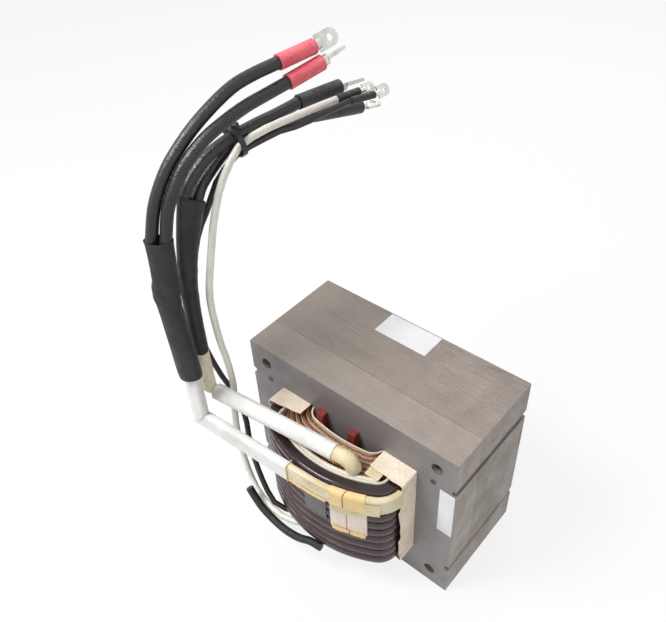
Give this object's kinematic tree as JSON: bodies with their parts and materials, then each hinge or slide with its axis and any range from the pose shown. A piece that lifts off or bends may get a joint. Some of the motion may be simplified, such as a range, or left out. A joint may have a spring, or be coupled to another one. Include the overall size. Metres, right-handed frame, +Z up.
{
  "type": "laminated chassis transformer",
  "caption": "Welded E-I laminated core with one wound coil on the centre leg, sleeved copper leads and a standing bundle of lugged cables.",
  "frame": {"origin": "centre of the core underside, on the surface the transformer stands on", "axes": "+X across the three core legs, +Y through the lamination stack away from the lead side, +Z up"},
  "size_m": [0.2728, 0.2692, 0.4689],
  "materials": {
    "core_front": "semi-gloss varnished laminations",
    "core_top": "varnished laminations, warm grey",
    "weld": "ground weld bead",
    "pin": "bare steel",
    "paper": "insulation paper",
    "wrap": "glass-fabric wrap",
    "enamel": "purple-brown enamelled conductor",
    "conductor": "copper-brown enamelled conductor",
    "liner": "cream slot liner",
    "wedge": "dark red spacer",
    "glass_tape": "yellow glass tape",
    "glass_sleeve": "varnished glass sleeve",
    "sleeve": "white braided sleeve",
    "bar": "beige insulated conductor",
    "white_tape": "translucent white tape",
    "clear_tape": "clear tape over enamel",
    "shrink": "matte black heat shrink",
    "red_shrink": "red heat shrink",
    "cable": "satin black sheath",
    "cream": "cream silicone wire",
    "tin": "tinned copper terminal",
    "tie": "black nylon"
  },
  "bodies": {
    "root": {"e_core": "core_front", "i_core": "core_top", "weld_upper_left": "weld", "weld_upper_right": "weld", "weld_lower_left": "weld", "weld_lower_right": "weld", "joint_pins": "pin", "former": "paper", "inner_layer_1": "conductor", "inner_layer_2": "conductor", "inner_layer_3": "conductor", "inner_layer_4": "conductor", "inner_layer_5": "conductor", "layer_paper_1": "paper", "layer_paper_2": "paper", "layer_paper_3": "paper", "layer_paper_4": "paper", "barrier_wrap": "wrap", "outer_winding": "enamel", "slot_liner_left": "liner", "slot_liner_right": "liner", "wedges_front": "wedge", "outer_lead": "glass_tape", "outer_lead_sleeve": "sleeve", "inner_lead": "glass_sleeve", "inner_lead_sleeve": "sleeve", "inner_lead_bar": "bar", "tape_band": "glass_tape", "wide_tape": "white_tape", "clear_tape": "clear_tape", "start_sleeve": "shrink", "joint_sleeve_1": "shrink", "joint_sleeve_2": "shrink", "cable_a": "cable", "cable_b": "cable", "cable_c": "cable", "cable_d_tube": "cable", "cable_sleeve_a": "red_shrink", "cable_sleeve_b": "red_shrink", "cable_sleeve_c": "shrink", "cable_sleeve_d": "shrink", "lug_a": "tin", "lug_b": "tin", "lug_c": "tin", "lug_d": "tin", "cream_wire": "cream", "cream_sleeve": "shrink", "cream_lug": "tin", "black_wire": "cable", "black_sleeve": "shrink", "ring_lug": "tin", "cable_tie": "tie"}
  },
  "joints": []
}
